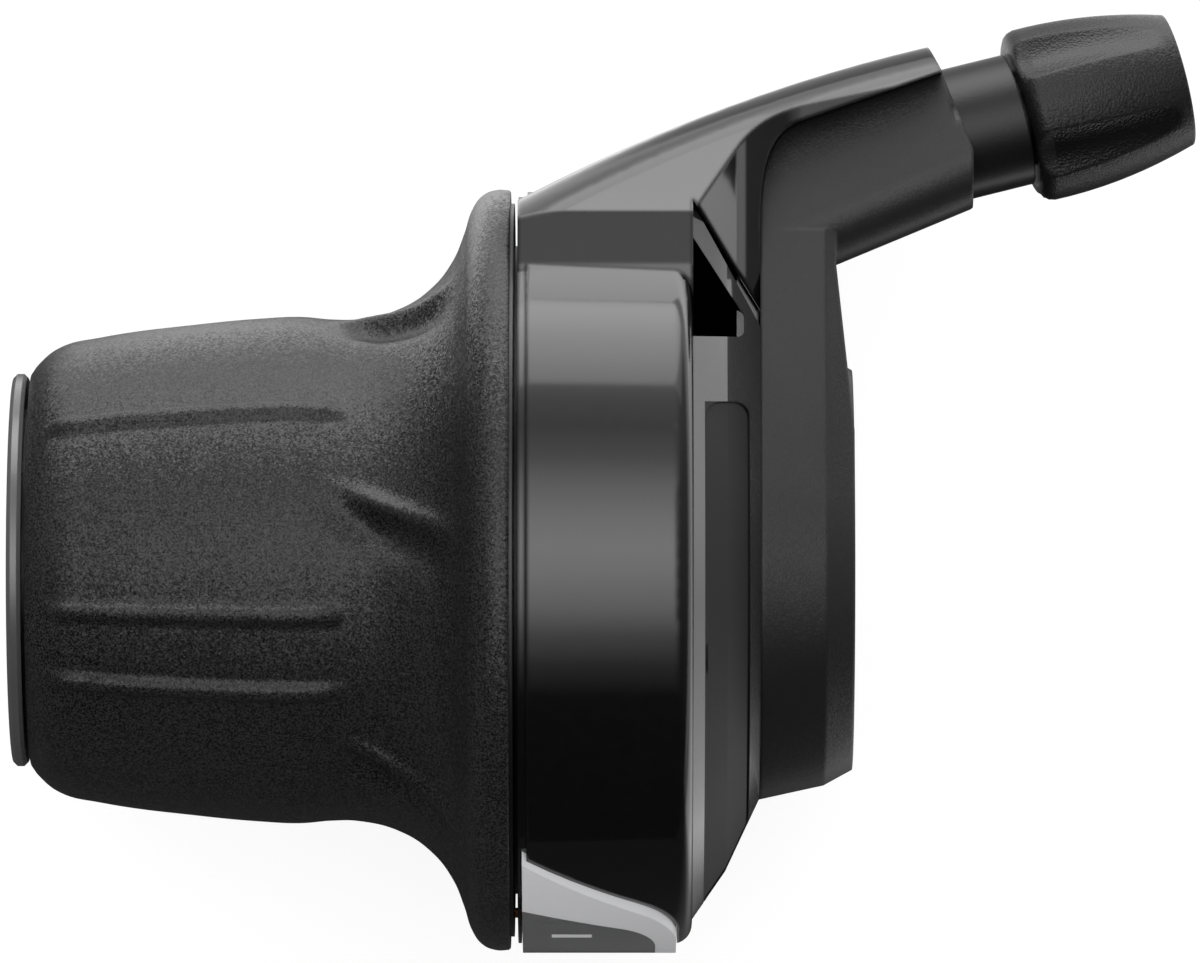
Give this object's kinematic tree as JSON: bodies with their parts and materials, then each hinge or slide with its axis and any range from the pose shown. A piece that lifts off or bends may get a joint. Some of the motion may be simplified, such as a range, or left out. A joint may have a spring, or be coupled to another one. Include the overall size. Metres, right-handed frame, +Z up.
{
  "type": "bicycle twist grip shifter",
  "caption": "Twist grip gear shifter for a handlebar: ribbed rubber grip, housing drum with gear display, clamp collar and an arm with a barrel cable adjuster.",
  "frame": {"origin": "on the handlebar's axis, at the middle of the clamp collar", "axes": "+X along the bar towards the middle of the bicycle, +Y forwards, +Z up"},
  "size_m": [0.0915, 0.0727, 0.059],
  "materials": {
    "matte_black": "fine moulded texture",
    "gloss_black": "high gloss",
    "bezel_grey": "printed grey behind a clear coat",
    "smoked_window": "smoked clear plastic",
    "scale_dark": "dark dial with plain light numbers",
    "needle_orange": "moulded colour",
    "sleeve_black": "moulded",
    "grip_rubber": "spark-textured",
    "spool_white": "natural acetal",
    "ring_grey": "satin",
    "spring_steel": "rolled",
    "screw_steel": "black oxide",
    "bush_brass": "turned",
    "liner_black": "extruded",
    "satin_black": "satin",
    "screw_alloy": "turned",
    "knob_black": "stippled, with smooth flutes"
  },
  "bodies": {
    "housing": {"clamp_base": "matte_black", "main_cover": "gloss_black", "cone_cover": "gloss_black", "display_bezel": "bezel_grey", "display_window": "smoked_window", "gear_scale": "scale_dark", "click_spring": "spring_steel", "spring_posts": "spring_steel", "clamp_screw": "screw_steel", "clamp_bush": "bush_brass", "cover_screws": "screw_steel", "retaining_ring": "ring_grey", "thrust_washer": "spool_white", "cable_guide": "liner_black", "adjuster_sleeve": "satin_black", "adjuster_spring": "spring_steel"},
    "twist_grip": {"grip_sleeve": "sleeve_black", "grip_rubber": "grip_rubber", "cable_spool": "spool_white", "indicator_needle": "needle_orange"},
    "casing_carrier": {"casing_seat": "screw_alloy"},
    "barrel_adjuster": {"adjuster_knob": "knob_black", "adjuster_screw": "screw_alloy"}
  },
  "joints": [
    {"name": "grip_twist", "type": "hinge", "parent": "housing", "child": "twist_grip", "pos_m": [-0.04, 0, 0], "axis": [1, 0, 0], "range_deg": [-24, 24], "deforming": ["click_spring"]},
    {"name": "adjuster_travel", "type": "slide", "parent": "housing", "child": "casing_carrier", "axis": [0.965, 0.2406, -0.1045], "range_m": [0, 0.0016]},
    {"name": "adjuster_turn", "type": "hinge", "parent": "casing_carrier", "child": "barrel_adjuster", "pos_m": [0.02251, 0.03645, -0.00115], "axis": [0.965, 0.2406, -0.1045], "range_deg": [0, 720]}
  ],
  "couplings": [
    {"joint": "adjuster_turn", "follows": "adjuster_travel", "rad_per_m": 7853.9}
  ]
}
